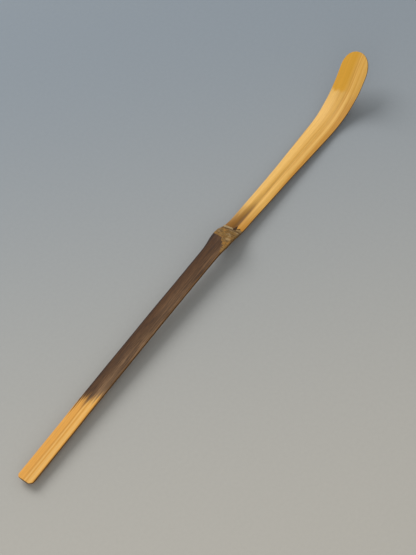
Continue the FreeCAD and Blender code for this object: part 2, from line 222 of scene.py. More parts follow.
class Strip:
    """The carved strip: its widths, heights and the line that steam bends it to, in millimetres."""

    STEP = 0.1
    SWELL_LENGTH = 5.0
    FALL_LENGTH = 5.0
    NECK_LENGTH = 3.9
    TIP_DEPTH = 6.2
    MIDDLE_SHARE = 0.6
    BUTT_LENGTH = 2.6
    BUTT_THICK = 1.25

    def __init__(self, sizes):
        self.handle = sizes.handle_length / MM
        self.pale = sizes.pale_length / MM
        self.half = sizes.handle_width / MM / 2
        self.thick = sizes.handle_thickness / MM
        self.skin = sizes.skin_thickness / MM
        self.rise = sizes.crest_rise / MM
        self.kink = sizes.kink
        self.edge = sizes.edge_round / MM
        self.crest = self.handle + self.SWELL_LENGTH
        self.foot = self.crest + self.FALL_LENGTH
        self.neck = self.foot + self.NECK_LENGTH
        self.drop = sizes.neck_drop / MM
        self.bend = self.neck + sizes.stem_length / MM
        self.radius = sizes.bend_radius / MM
        self.turn = sizes.bend_angle
        self.blade = self.bend + self.radius * self.turn
        self.tip = self.blade + sizes.blade_length / MM
        self.blade_half = sizes.blade_width / MM / 2
        self.round_start = self.tip - self.TIP_DEPTH
        self.middle = blend(self.neck, self.bend, self.MIDDLE_SHARE)
        # Half widths, sideways curve, thicknesses and skin heights, each beside its place along the strip.
        self.widths = [
            (0, self.half - 0.02), (self.handle - 30, self.half), (self.handle - 4, self.half + 0.02),
            (self.handle, self.half + 0.1), (self.crest - 0.8, 3.1), (self.crest + 1, 3.1),
            (self.crest + 3.5, 3.0), (self.foot + 0.8, 2.86), (self.neck, 2.82), (self.neck + 9.7, 2.9),
            (self.neck + 22.6, 3.11), (self.bend - 13, 3.4), (self.bend - 4.1, 3.71),
            (self.bend + 4.7, 4.04), (self.bend + 8.5, 4.26), (self.blade - 3.3, 4.42),
            (self.blade + 0.6, 4.58), (self.round_start, self.blade_half),
            (self.tip, self.blade_half),
        ]
        self.sways = [
            (0, -0.22), (18, -0.17), (30, 0.0), (60, 0.03), (84, -0.05), (self.handle, -0.12),
            (self.neck, -0.05), (self.neck + 18, -0.2), (self.bend, -0.2), (self.blade, -0.2),
            (self.blade + 4.4, -0.02), (self.blade + 8.3, 0.3), (self.tip, 0.5),
        ]
        self.thicks = [
            (self.neck, 2.3), (self.bend, 1.8), (self.blade, 1.55), (self.tip, 1.05),
        ]
        slope = math.tan(self.kink)
        self.heights = [
            (self.handle - 2, 0.0), (self.crest - 0.9, self.rise), (self.crest + 0.3, self.rise - 0.04),
            (self.crest + 1.6, self.rise - 0.4), (self.foot - 0.6, -self.drop + 1.45),
            (self.foot + 0.8, -self.drop + 0.7), (self.neck - 1.2, -self.drop + 0.2),
            (self.neck, -self.drop), (self.neck + 2, -self.drop - 2 * slope),
        ]
        # The frame says where the cut end is and how the strip lies.
        pale_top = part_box("handle_rind_pale")[1].z / MM
        climb = drop_between("handle_rind_smoked", "handle_rind_pale") / (self.handle - self.pale)
        self.tilt = math.asin(climb)
        self.start = Vector((CAD_BOX[0][0] / MM, 0, pale_top - self.pale * climb))
        self.line = self.steam_line()

    def half_width(self, along):
        """Half the width of the skin."""
        return through(self.widths, along)

    def sway(self, along):
        """The slight sideways curve that the bamboo grew with."""
        return through(self.sways, along)

    def lean(self, along):
        """How far the strip has turned down into the kink, as a share."""
        return min(max((along - self.foot) / (self.neck - self.foot), 0.0), 1.0)

    def height(self, along):
        """The skin line above the straight line of the handle, up to the neck."""
        return through(self.heights, along)

    def foot_at(self, share):
        """Where the slope of the node ends, slanting towards the tip on the right."""
        ragged = 0.12 * uneven(share * 2.3, 3.0, 0.0)
        return self.foot - 0.54 * share + ragged

    def back(self, along):
        """The back below the skin line."""
        if along >= self.neck:
            return -through(self.thicks, along)
        if along < self.BUTT_LENGTH:
            return blend(-self.thick, -self.BUTT_THICK, (1 - along / self.BUTT_LENGTH) ** 2)
        neck_thick = self.thicks[0][1]
        fall = blend(-self.thick, -self.drop - neck_thick, ease(self.handle - 1, self.neck, along))
        return fall - self.height(along)

    def groove_line(self, along):
        """Where the bottom of the groove runs, across the strip."""
        return through([(self.foot, 0.3), (self.neck + 8, -0.05), (self.middle, -0.25),
                        (self.bend, -0.42), (self.blade, -0.4), (self.tip, -0.15)], along)

    def groove(self, along, across):
        """Depth of the groove, and of the shallow dish that it becomes on the blade."""
        if along < self.foot:
            return 0.0
        width = through([(self.foot, 1.15), (self.neck + 10, 0.9), (self.middle, 0.45),
                         (self.bend, 0.36), (self.tip, 0.3)], along)
        depth = through([(self.foot, 0.34), (self.neck + 6, 0.3), (self.middle, 0.1),
                         (self.bend, 0.05), (self.blade, 0.015), (self.tip, 0.0)], along)
        away = (across - self.groove_line(along)) / width
        cut = depth * math.exp(-away * away)
        dish = 0.27 * ease(self.bend + 6, self.blade + 3, along)
        aside = min(abs(across - self.groove_line(along)) / self.blade_half, 1.0)
        return cut + dish * (1 - aside ** 1.7) ** 1.5

    def crown(self, along, share):
        """How far the skin falls away from its middle, at a share of the half width."""
        rise = through([(0, 0.13), (self.handle, 0.13), (self.crest, 0.3), (self.neck, 0.24),
                        (self.bend, 0.22), (self.blade, 0.1), (self.tip, 0.06)], along)
        return rise * share * share

    def steam_line(self):
        """Points of the skin line past the neck: place, height and lean, one for each step."""
        place, height = self.neck, self.height(self.neck)
        lean = -self.kink
        soften = 2.2
        spare_steps = 12
        line = []
        for index in range(int((self.tip - self.neck) / self.STEP) + spare_steps):
            along = self.neck + index * self.STEP
            line.append((place, height, lean))
            inside = ease(self.bend - soften, self.bend + soften, along)
            inside *= 1 - ease(self.blade - soften, self.blade + soften, along)
            lean += inside * self.STEP / self.radius
            place += math.cos(lean) * self.STEP
            height += math.sin(lean) * self.STEP
        return line

    def steam(self, point):
        """Bend a point of the straight strip to its place on the finished scoop, in metres."""
        along, across, up = point
        if along <= self.neck:
            lean = -self.kink * self.lean(along)
            place, height = along, self.height(along)
        else:
            position = (along - self.neck) / self.STEP
            index = int(position)
            share = position - index
            first, second = self.line[index], self.line[index + 1]
            place, height, lean = (blend(a, b, share) for a, b in zip(first, second))
        bent = Vector((place - up * math.sin(lean), across + self.sway(along),
                       height + up * math.cos(lean)))
        bent.rotate(Matrix.Rotation(-self.tilt, 3, "Y"))
        return (self.start + bent) * MM


STRIP = {}


def strip():
    """The strip that the scene's sizes describe, worked out once."""
    if "scoop" not in STRIP:
        STRIP["scoop"] = Strip(bpy.context.scene.scoop_sizes)
    return STRIP["scoop"]


def block(cuts_along, cuts_across, cuts_up):
    """A cube from -1 to 1 with a grid of faces on every side."""
    shape = bmesh.new()
    bmesh.ops.create_cube(shape, size=2)
    for axis, cuts in enumerate((cuts_along, cuts_across, cuts_up)):
        edges = [e for e in shape.edges if abs(e.verts[0].co[axis] - e.verts[1].co[axis]) > 0.01]
        if cuts:
            bmesh.ops.subdivide_edges(shape, edges=edges, cuts=cuts, use_grid_fill=True)
    return shape


def crowd(share, strength):
    """Move a share from -1 to 1 towards its nearer end, so that rows gather at the edges."""
    return blend(share, math.sin(share * math.pi / 2), strength)


def points(shape, crowding=0.0):
    """Each point of a block, with its share along, 0 to 1, across, -1 to 1, and down, 0 to 1."""
    for vertex in shape.verts:
        along, across, up = vertex.co
        yield vertex, (along + 1) / 2, crowd(across, crowding), (1 - up) / 2


def width_at(scoop, along, side):
    """Half width on one side, with the cut corners of the cut end and the waver of a hand-held knife."""
    corner_wide, corner_deep, seed = (0.55, 0.6, 3.1) if side > 0 else (0.95, 0.95, 8.7)
    missing = max(0.0, 1 - along / corner_deep) * corner_wide
    waver = wander(along, seed, 0.07, 17) * ease(1, 4, along)
    waver *= 1 - ease(scoop.round_start - 4, scoop.round_start, along)
    return scoop.half_width(along) - missing + waver


def draw_in(first, second, roundness):
    """Draw a square from -1 to 1 in towards a disc. Returns the first of its two coordinates."""
    return first * math.sqrt(1 - roundness * second * second / 2)


def round_tip(scoop, along, share):
    """Draw the square end of the blade into its rounded outline. Returns place and width share."""
    if along <= scoop.round_start:
        return along, share
    roundness = 0.96
    part = (along - scoop.round_start) / scoop.TIP_DEPTH
    place = scoop.round_start + scoop.TIP_DEPTH * draw_in(part, share, roundness)
    return place, draw_in(share, part, roundness)


def finish_piece(shape, name, node, maker):
    """Store the strip's own directions, bend the piece to its place and hang it on the frame."""
    scoop = strip()
    grain = shape.verts.layers.float_vector.new("grain")
    for vertex in shape.verts:
        vertex[grain] = vertex.co
    for vertex in shape.verts:
        vertex.co = scoop.steam(vertex.co)
    bmesh.ops.recalc_face_normals(shape, faces=shape.faces)
    for edge in shape.edges:
        edge.smooth = not creased(edge, 38)
    for face in shape.faces:
        face.smooth = True
    mesh = bpy.data.meshes.new(name)
    shape.to_mesh(mesh)
    shape.free()
    mesh.materials.append(material(maker))
    piece = bpy.data.objects.new(name, mesh)
    bpy.context.scene.collection.objects.link(piece)
    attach(piece, BODY)
    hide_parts(node)


def round_edges(shape, radius, chosen):
    """Round the edges that a test picks."""
    edges = [edge for edge in shape.edges if chosen(edge)]
    bmesh.ops.bevel(shape, geom=edges, offset=radius, offset_type="OFFSET", segments=3,
                    profile=0.5, affect="EDGES", material=-1, clamp_overlap=True)


def creased(edge, angle=50):
    """Whether two faces meet at the edge more sharply than an angle."""
    return edge.calc_face_angle(0) > math.radians(angle)


def skin_top(scoop, along, across, share):
    """Height of the skin over the skin line: crown, groove and the finest unevenness."""
    up = -scoop.crown(along, share) - scoop.groove(along, across)
    ripple = 0.012 * uneven(along / 9, across / 0.7, 2.0)
    return up + ripple


def skin_piece(start_at, end, cuts_along, cuts_across):
    """A length of the hard outer skin, still straight. Its start is a function, because it may slant."""
    scoop = strip()
    shape = block(cuts_along, cuts_across, 1)
    for vertex, part, share, depth in points(shape, 0.5):
        along = blend(start_at(share), end, part)
        place, drawn = round_tip(scoop, along, share)
        across = drawn * width_at(scoop, along, share)
        top = skin_top(scoop, place, across, abs(drawn))
        vertex.co = (place, across, blend(top, -scoop.skin, depth))
    return shape


def flesh_side(scoop, along, depth):
    """Share of the half width that the wood keeps at a depth, which goes from 0 at the skin to 1."""
    square = through([(0, 0.27), (scoop.handle, 0.27), (scoop.neck, 0.2), (scoop.tip, 0.3)], along)
    if depth <= square:
        return 1.0
    fall = (depth - square) / (1 - square)
    keep = through([(0, 0.56), (scoop.crest, 0.52), (scoop.bend, 0.58), (scoop.tip, 0.74)], along)
    return blend(1.0, keep, fall ** 0.92)


def flesh_piece(start_at, end, cuts_along, cuts_across):
    """A length of the wood under the skin, with its bevelled sides and planed back, still straight."""
    scoop = strip()
    shape = block(cuts_along, cuts_across, 9)
    for vertex, part, share, depth in points(shape, 0.35):
        along = blend(start_at(share), end, part)
        place, drawn = round_tip(scoop, along, share)
        half = width_at(scoop, along, share) * flesh_side(scoop, place, depth)
        planed = wander(place, 5.3, 0.05, 11) + wander(place, 1.9, 0.02, 3.5)
        facet = 0.035 * uneven(place / 6, vertex.co.y * 1.7, 7.0)
        low = scoop.back(place) + (planed + facet) * ease(1, 6, place) * depth
        vertex.co = (place, drawn * half, blend(-scoop.skin, low, depth))
    return shape


# Materials. Every bamboo material reads the same stored directions of the strip, so the grain runs on from
# one tissue into the next and shows as lines along the strip and dots on a cut end. Numbers beside along,
# across and up are millimetres, the first two of a cloud are features to the millimetre, and the rest are
# shares.

class Finish:
    """A material under construction: its colour so far, and short words for the nodes that it needs."""

    def __init__(self, name):
        self.material = bpy.data.materials.new(name)
        self.material.use_nodes = True
        self.tree = self.material.node_tree
        self.shader = self.tree.nodes["Principled BSDF"]
        self.colours = bpy.context.scene.scoop_colours
        self.colour = None

    def node(self, kind, **settings):
        made = self.tree.nodes.new(kind)
        for key, value in settings.items():
            setattr(made, key, value)
        return made

    def feed(self, socket, value):
        """Link a node's socket, or set a plain value."""
        if isinstance(value, bpy.types.NodeSocket):
            self.tree.links.new(value, socket)
        else:
            socket.default_value = value

    def follow_strip(self):
        """Let patterns follow the strip. Returns its directions, along, across and up, in millimetres."""
        self.grain = self.node("ShaderNodeAttribute", attribute_name="grain").outputs["Vector"]
        split = self.node("ShaderNodeSeparateXYZ")
        self.feed(split.inputs[0], self.grain)
        return split.outputs

    def texture(self, kind, along, across, shift):
        """A pattern with so many features to the millimetre along and across."""
        mapping = self.node("ShaderNodeMapping")
        self.feed(mapping.inputs["Vector"], self.grain)
        mapping.inputs["Scale"].default_value = (along, across, across)
        mapping.inputs["Location"].default_value = (shift, shift * 1.7, shift * 0.6)
        made = self.node(kind)
        self.feed(made.inputs["Vector"], mapping.outputs[0])
        made.inputs["Scale"].default_value = 1.0
        return made

    def cloud(self, along, across, detail=2.0, rough=0.5, shift=0.0):
        """Soft noise."""
        made = self.texture("ShaderNodeTexNoise", along, across, shift)
        made.inputs["Detail"].default_value = detail
        made.inputs["Roughness"].default_value = rough
        return made.outputs["Fac"]

    def pores(self, along, across, shift=0.0):
        """Distance from the nearest vessel of the wood."""
        return self.texture("ShaderNodeTexVoronoi", along, across, shift).outputs["Distance"]

    def ramp(self, value, start, end, low=0.0, high=1.0, step="SMOOTHSTEP"):
        """A step of a value, smooth unless told otherwise."""
        mapped = self.node("ShaderNodeMapRange", interpolation_type=step)
        self.feed(mapped.inputs["Value"], value)
        for name, number in (("From Min", start), ("From Max", end), ("To Min", low), ("To Max", high)):
            self.feed(mapped.inputs[name], number)
        return mapped.outputs["Result"]

    def maths(self, operation, first, *others):
        """Several numbers joined in turn by an operation."""
        result = first
        for other in others:
            made = self.node("ShaderNodeMath", operation=operation)
            self.feed(made.inputs[0], result)
            self.feed(made.inputs[1], other)
            result = made.outputs[0]
        return result

    def sum(self, *terms):
        return self.maths("ADD", *terms)

    def less(self, first, second):
        """The first number less the second."""
        return self.maths("SUBTRACT", first, second)

    def larger(self, first, second):
        return self.maths("MAXIMUM", first, second)

    def product(self, *factors):
        return self.maths("MULTIPLY", *factors)

    def band(self, value, middle, width):
        """A soft line: 1 on its middle, fading to 0 at its width on each side."""
        away = self.maths("ABSOLUTE", self.less(value, middle), 0.0)
        return self.ramp(away, 0.0, width, 1.0, 0.0)

    def mix(self, first, second, share, kind="MIX"):
        """Two colours mixed."""
        made = self.node("ShaderNodeMix", data_type="RGBA", blend_type=kind)
        self.feed(made.inputs["Factor"], share)
        for socket, colour in ((made.inputs[6], first), (made.inputs[7], second)):
            if not isinstance(colour, bpy.types.NodeSocket):
                colour = (*colour, 1.0)
            self.feed(socket, colour)
        return made.outputs[2]

    def shaded(self, colour, value, low, high):
        """A colour made darker or lighter by a pattern."""
        tone = self.ramp(value, 0.25, 0.75, low, high, "LINEAR")
        grey = self.node("ShaderNodeCombineColor")
        for socket in grey.inputs:
            self.feed(socket, tone)
        return self.mix(colour, grey.outputs[0], 1.0, "MULTIPLY")

    def paint(self, colour, *shares):
        """Lay a colour over the material, as thick as the product of some shares."""
        self.colour = self.mix(self.colour, colour, self.product(*shares))

    def shade(self, value, low, high):
        """Make the colour so far darker or lighter by a pattern."""
        self.colour = self.shaded(self.colour, value, low, high)

    def relief(self, *layers):
        """Fine relief: pairs of a pattern and its depth in millimetres."""
        last = None
        for pattern, depth in layers:
            bump = self.node("ShaderNodeBump")
            bump.inputs["Strength"].default_value = 1.0
            bump.inputs["Distance"].default_value = depth * MM
            self.feed(bump.inputs["Height"], pattern)
            if last is not None:
                self.feed(bump.inputs["Normal"], last)
            last = bump.outputs["Normal"]
        self.feed(self.shader.inputs["Normal"], last)

    def surface(self, rough, specular=0.2):
        """Give the shader its colour, roughness and reflection."""
        self.feed(self.shader.inputs["Base Color"], self.colour)
        self.feed(self.shader.inputs["Roughness"], rough)
        self.shader.inputs["Specular IOR Level"].default_value = specular
        return self.material


def golden_skin(look, along, across, streak, fine):
    """Aged golden skin: zones along the strip, broad streaks and fine dark fibres, with painted light on
    the stem's left side, a painted highlight along the handle, and painted shade on the stem's right
    shoulder and the handle's right edge.
    """
    scoop, colours = strip(), look.colours
    stem = look.ramp(along, scoop.foot, scoop.foot + 3)
    look.colour = look.mix(colours.golden, colours.straw, stem)
    # Painted light: the stem's left side, which faces the lamp, made paler.
    look.paint(colours.pale_streak_and_highlight, look.ramp(across, 0.2, 2.4), stem, 0.6)
    # Painted shade: the right shoulder of the stem, which falls away from the lamp, darkened in honey.
    painted_shoulder_shade = look.ramp(across, -1.9, -2.8)
    past_middle = look.ramp(along, scoop.neck + 3, scoop.middle)
    before_blade = look.ramp(along, scoop.blade + 2, scoop.blade - 5)
    look.paint(colours.honey_and_shade, painted_shoulder_shade, past_middle, before_blade, 0.6)
    look.paint(colours.honey_and_shade, look.ramp(streak, 0.45, 0.75, 0.0, 0.5))
    look.paint(colours.pale_streak_and_highlight, look.ramp(streak, 0.45, 0.28, 0.0, 0.4))
    handle = look.ramp(along, scoop.crest, scoop.handle)
    # Painted highlight: a pale band along the crown of the handle, where the skin catches a reflection.
    light = look.larger(
        look.band(across, -0.25, 0.34),
        look.product(look.band(across, -1.5, 1.0), 0.9))
    look.paint(colours.pale_streak_and_highlight, light, handle, 0.7)
    lines = look.larger(look.band(across, 0.22, 0.2), look.band(across, -0.75, 0.22))
    look.paint(colours.honey_and_shade, lines, handle, 0.55)
    look.shade(look.cloud(0.012, 0.5, 2.0, shift=3.0), 0.93, 1.06)
    look.shade(fine, 0.88, 1.08)
    look.shade(look.cloud(0.5, 2.6, 3.0, 0.6, shift=7.0), 0.94, 1.06)
    fibre = look.ramp(look.pores(0.035, 4.2), 0.0, 0.22, 1.0, 0.0)
    look.paint(colours.umber_and_shade, fibre, 0.13)
    # Painted shade: a dark line along the handle's right edge, on the side away from the lamp.
    look.paint(colours.umber_and_shade, look.ramp(across, -2.28, -2.56), handle, 0.55)


def past_node(look, along, across):
    """Russet and amber skin just past the node, painted shade on the groove's left wall and its fine line,
    a painted highlight on its right wall, and the ochre of the blade, partly tea stain and partly painted
    shade.
    """
    scoop, colours = strip(), look.colours
    waver = look.cloud(0.06, 0.5, 3.0, 0.6, shift=61.0)
    near = look.sum(along, look.ramp(waver, 0.3, 0.7, -2.0, 2.0))
    past = look.ramp(along, scoop.foot - 0.3, scoop.foot + 0.6)
    left = look.ramp(across, 0.2, -0.7, 1.0, 0.45)
    look.paint(colours.russet, look.ramp(near, scoop.neck + 10, scoop.foot + 1), left, past, 0.95)
    right = look.ramp(across, -0.3, -0.9)
    look.paint(colours.honey_and_shade, look.ramp(near, scoop.neck + 10, scoop.foot + 2), right, past, 0.75)
    # Painted shade: the groove's left wall, which faces away from the lamp, and the fine dark line at its
    # foot.
    line = look.sum(
        look.ramp(along, scoop.foot, scoop.neck + 12, -0.34, -0.24),
        look.ramp(along, scoop.neck + 12, scoop.bend, 0.0, -0.3),
        look.ramp(along, scoop.blade, scoop.tip, 0.0, 0.45),
        look.ramp(waver, 0.3, 0.7, -0.06, 0.06))
    away = look.less(across, line)
    painted_groove_shade = look.product(
        look.ramp(away, -0.4, -0.1),
        look.ramp(away, 0.0, 1.7, 1.0, 0.0),
        look.ramp(along, scoop.neck + 17, scoop.neck + 1), 0.85)
    thin = look.product(
        look.band(away, 0.1, 0.42),
        look.ramp(along, scoop.neck, scoop.neck + 14),
        look.ramp(along, scoop.neck + 14, scoop.bend - 10, 0.4, 0.15),
        look.ramp(along, scoop.tip, scoop.bend + 6, 0.1, 1.0))
    look.paint(colours.umber_and_shade, look.larger(painted_groove_shade, thin), past, 0.95)
    # Painted highlight: the groove's right wall, which faces the lamp, made paler.
    painted_wall_highlight = look.ramp(along, scoop.neck + 2, scoop.neck + 16, 0.2, 0.8)
    look.paint(colours.pale_streak_and_highlight, look.band(away, -0.95, 0.6), past, painted_wall_highlight, 0.6)
    bent = look.ramp(along, scoop.bend, scoop.blade)
    look.paint(colours.honey_and_shade, look.band(across, -1.15, 0.24), bent, 0.7)
    # The ochre is partly a tea stain and partly painted shade: thickest on the blade's left half, which
    # catches no reflection of the lamp.
    start = look.sum(
        look.ramp(across, 4.5, -1.5, 0.0, 1.2),
        look.ramp(waver, 0.3, 0.7, -0.5, 0.5), scoop.blade - 2.0)
    blade = look.ramp(look.less(along, start), -0.5, 1.0)
    fibres = look.cloud(0.08, 2.6, 3.0, 0.6, shift=67.0)
    ochre = look.shaded(colours.ochre, fibres, 0.9, 1.08)
    look.paint(ochre, blade, look.ramp(across, -1.0, 1.1, 0.22, 1.0), 0.9)


def smoke(look, along, across, fine):
    """Lay the smoke stain over the colour, brushed at its start and clean at its end. Returns its share."""
    scoop, colours = strip(), look.colours
    brush = look.cloud(0.06, 2.2, 3.0, 0.6, shift=27.0)
    loose = look.ramp(across, 2.4, -1.5, 3.8, 1.8)
    start = look.sum(
        look.ramp(across, 2.3, 0.2, scoop.pale - 2.2, scoop.pale + 0.7),
        look.ramp(across, 0.2, -2.4, 0.0, 1.9),
        look.product(look.ramp(brush, 0.3, 0.7, -1.0, 1.0), loose))
    ragged = look.cloud(0.8, 1.0, 3.0, 0.6, shift=31.0)
    wobble = look.product(look.ramp(ragged, 0.3, 0.7, -1.6, 1.6), look.ramp(across, 0.6, -1.0))
    earlier = look.ramp(across, -0.5, -2.8, 0.0, 4.2)
    end = look.sum(look.less(scoop.crest + 0.1, earlier), wobble)
    stain = look.product(
        look.ramp(look.less(along, start), -2.6, 3.0),
        look.ramp(look.less(end, along), -0.1, 0.4))
    soot = look.cloud(0.14, 4.2, 4.0, 0.7, shift=41.0)
    flecks = look.cloud(0.7, 5.0, 3.0, 0.65, shift=43.0)
    patch = look.cloud(0.07, 0.6, 3.0, 0.6, shift=51.0)
    thin = look.product(
        look.ramp(across, 2.3, -2.3, 0.03, 0.85),
        look.ramp(patch, 0.3, 0.7, 0.7, 1.3),
        look.ramp(along, scoop.handle, scoop.pale + 10, 0.45, 1.0))
    dark = look.mix(colours.smoked, colours.singed, thin)
    dark = look.mix(dark, colours.soot, look.ramp(soot, 0.42, 0.64, 0.0, 0.7))
    warm = look.product(
        look.ramp(across, 0.2, -1.8),
        look.ramp(along, scoop.pale + 16, scoop.pale + 4), 0.6)
    dark = look.mix(dark, colours.singed, warm)
    for pattern, low, high in ((patch, 0.82, 1.2), (fine, 0.74, 1.26), (flecks, 0.8, 1.2)):
        dark = look.shaded(dark, pattern, low, high)
    dark = look.mix(dark, colours.soot, look.ramp(across, 2.05, 2.45, 0.0, 0.9))
    dark = look.mix(dark, colours.russet, look.ramp(across, -2.35, -2.62, 0.0, 0.35))
    look.paint(dark, stain)
    return stain


def skin_material():
    """Skin of the handle and stem."""
    look = Finish("Golden and smoked bamboo skin")
    colours = look.colours
    along, across, up = look.follow_strip()
    streak = look.cloud(0.02, 1.9, 3.0, 0.55, shift=11.0)
    fine = look.cloud(0.05, 7.0, 2.0, 0.6, shift=5.0)
    golden_skin(look, along, across, streak, fine)
    past_node(look, along, across)
    stain = smoke(look, along, across, fine)
    # Painted shade: the sides of the skin darkened in umber.
    look.paint(colours.umber_and_shade, look.ramp(up, -0.26, -0.4), 0.75)
    look.relief((fine, 0.010), (streak, 0.012))
    return look.surface(look.sum(look.ramp(fine, 0.3, 0.7, 0.44, 0.54), look.product(stain, 0.2)))


def cut_wood(look, along, up):
    """Knife-cut wood, with more vessels and painted shade under the skin, darker below the stain and in the
    node. Returns its two patterns.
    """
    scoop, colours = strip(), look.colours
    streak = look.cloud(0.03, 2.4, 3.0, 0.55, shift=15.0)
    fine = look.cloud(0.08, 8.0, 2.0, 0.6, shift=25.0)
    look.colour = look.mix(colours.flesh, colours.honey_and_shade, look.ramp(streak, 0.4, 0.7, 0.0, 0.6))
    look.shade(fine, 0.86, 1.08)
    bundle = look.ramp(look.pores(0.05, 2.6, 4.0), 0.06, 0.26, 1.0, 0.0)
    look.paint(colours.umber_and_shade, bundle, look.ramp(up, -2.6, -0.6, 0.3, 0.9), 0.75)
    # Painted shade: the upper sides of the wood, just under the skin, darkened, more on the handle than on
    # the stem.
    painted_side_shade = look.ramp(along, scoop.bend, scoop.neck, 0.5, 0.85)
    look.paint(colours.umber_and_shade, look.ramp(up, -1.9, -0.9), painted_side_shade)
    smoked = look.ramp(along, scoop.pale + 2, scoop.pale + 12)
    look.paint(colours.bark_and_shade, smoked, look.ramp(along, scoop.foot, scoop.crest - 2), 0.5)
    knot = look.ramp(along, scoop.handle - 1, scoop.crest)
    look.paint(colours.bark_and_shade, knot, look.ramp(along, scoop.foot + 2, scoop.foot - 2), 0.45)
    return fine, bundle


def node_material():
    """The node: smoked up to its crest, then rough olive brown down to the sheath scar, with cut sides, and
    painted shade in the crevice before the scar and on the sides below the skin.
    """
    look = Finish("Rough node of the bamboo")
    scoop, colours = strip(), look.colours
    along, across, up = look.follow_strip()
    fine = look.cloud(0.05, 7.0, 2.0, 0.6, shift=5.0)
    mottle = look.cloud(0.7, 0.55, 4.0, 0.65, shift=71.0)
    crease = look.cloud(2.6, 0.55, 3.0, 0.6, shift=75.0)
    grit = look.cloud(3.5, 4.5, 3.0, 0.6, shift=81.0)
    look.colour = look.mix(colours.olive, colours.honey_and_shade, look.ramp(mottle, 0.5, 0.66, 0.0, 0.4))
    look.paint(colours.cork, look.ramp(mottle, 0.46, 0.34, 0.0, 0.55))
    gold = look.ramp(across, -0.4, -2.4)
    look.paint(colours.honey_and_shade, gold, look.ramp(along, scoop.foot - 1, scoop.crest), 0.15)
    look.paint(colours.bark_and_shade, look.ramp(crease, 0.5, 0.66, 0.0, 0.75))
    look.shade(grit, 0.78, 1.2)
    # Painted shade: the crevice just before the sheath scar's rim, darkened in bark.
    slant = look.sum(along, look.product(across, 0.2))
    look.paint(colours.bark_and_shade, look.ramp(slant, scoop.foot - 1.0, scoop.foot - 0.3), 0.6)
    smoke(look, along, across, fine)
    # Painted shade: the sides of the node below the skin darkened in umber.
    look.paint(colours.umber_and_shade, look.ramp(up, -0.5, -1.1), 0.4)
    outside = look.colour
    cut_wood(look, along, up)
    swell = look.ramp(along, scoop.handle, scoop.crest)
    ragged = look.product(look.ramp(mottle, 0.3, 0.7, -0.35, 0.35), swell)
    edge = look.sum(up, ragged, look.product(swell, 0.4))
    inside = look.product(look.ramp(edge, -0.5, -0.9), 0.95)
    look.colour = look.mix(outside, look.colour, inside)
    look.relief((grit, 0.03), (crease, 0.10))
    return look.surface(look.ramp(grit, 0.3, 0.7, 0.55, 0.75))


def flesh_material():
    """Knife-cut wood: vessels as long lines on the sides and back, and as dots on the cut end, with painted
    shade in the crack past the sheath scar.
    """
    look = Finish("Knife-cut bamboo flesh")
    scoop, colours = strip(), look.colours
    along, _, up = look.follow_strip()
    fine, bundle = cut_wood(look, along, up)
    look.paint(colours.bark_and_shade, look.ramp(along, 0.16, 0.02), 0.8)
    # Painted shade: the wood at the floor of the crack past the sheath scar, darkened in soot.
    past_scar = look.ramp(along, scoop.foot + 1.9, scoop.foot + 1.5)
    under_skin = look.ramp(up, -1.0, -0.7)
    look.paint(
        colours.soot, past_scar, under_skin,
        look.ramp(along, scoop.foot - 0.7, scoop.foot - 0.6), 0.9)
    look.relief((fine, 0.015), (bundle, -0.02))
    return look.surface(look.ramp(fine, 0.3, 0.7, 0.5, 0.62), 0.25)


def cork_material():
    """Dry corky tissue of the sheath scar and the partition."""
    look = Finish("Corky scar tissue")
    colours = look.colours
    _, across, _ = look.follow_strip()
    crumb = look.cloud(1.6, 1.2, 4.0, 0.65, shift=91.0)
    grit = look.cloud(6.0, 7.0, 3.0, 0.6, shift=95.0)
    look.colour = look.mix(colours.cork, colours.olive, look.ramp(crumb, 0.5, 0.68, 0.0, 0.6))
    look.paint(colours.olive, look.ramp(across, 0.4, -0.6, 0.0, 0.75))
    look.shade(grit, 0.75, 1.15)
    look.relief((grit, 0.02), (crumb, 0.05))
    return look.surface(look.ramp(grit, 0.3, 0.7, 0.65, 0.85))


def bud_material():
    """Near-black dried bud."""
    look = Finish("Dried bud scar")
    umber_and_shade = look.colours.umber_and_shade
    look.follow_strip()
    scale = look.cloud(1.5, 5.0, 3.0, 0.6, shift=99.0)
    dark = tuple(value * 0.3 for value in umber_and_shade)
    look.colour = look.mix(dark, umber_and_shade, look.ramp(scale, 0.45, 0.75, 0.0, 0.5))
    look.relief((scale, 0.05))
    return look.surface(look.ramp(scale, 0.3, 0.7, 0.6, 0.8))


MATERIALS = {}


def material(maker):
    """The material that a function makes, made once."""
    if maker not in MATERIALS:
        MATERIALS[maker] = maker()
    return MATERIALS[maker]


class TEASCOOP_OT_handle_flesh(bpy.types.Operator):
    """Carve the wood of the handle, bevelled to a planed back"""
    bl_idname = "teascoop.handle_flesh"
    bl_label = "Handle Flesh"

    def execute(self, context):
        scoop = strip()
        shape = flesh_piece(lambda share: 0, scoop.handle, 220, 14)
        round_edges(shape, scoop.edge, lambda e: creased(e) and e.verts[0].co.z < -scoop.skin - 0.1
                    and max(v.co.x for v in e.verts) < scoop.handle - 0.01)
        finish_piece(shape, "handle_flesh", "handle_core", flesh_material)
        return {"FINISHED"}


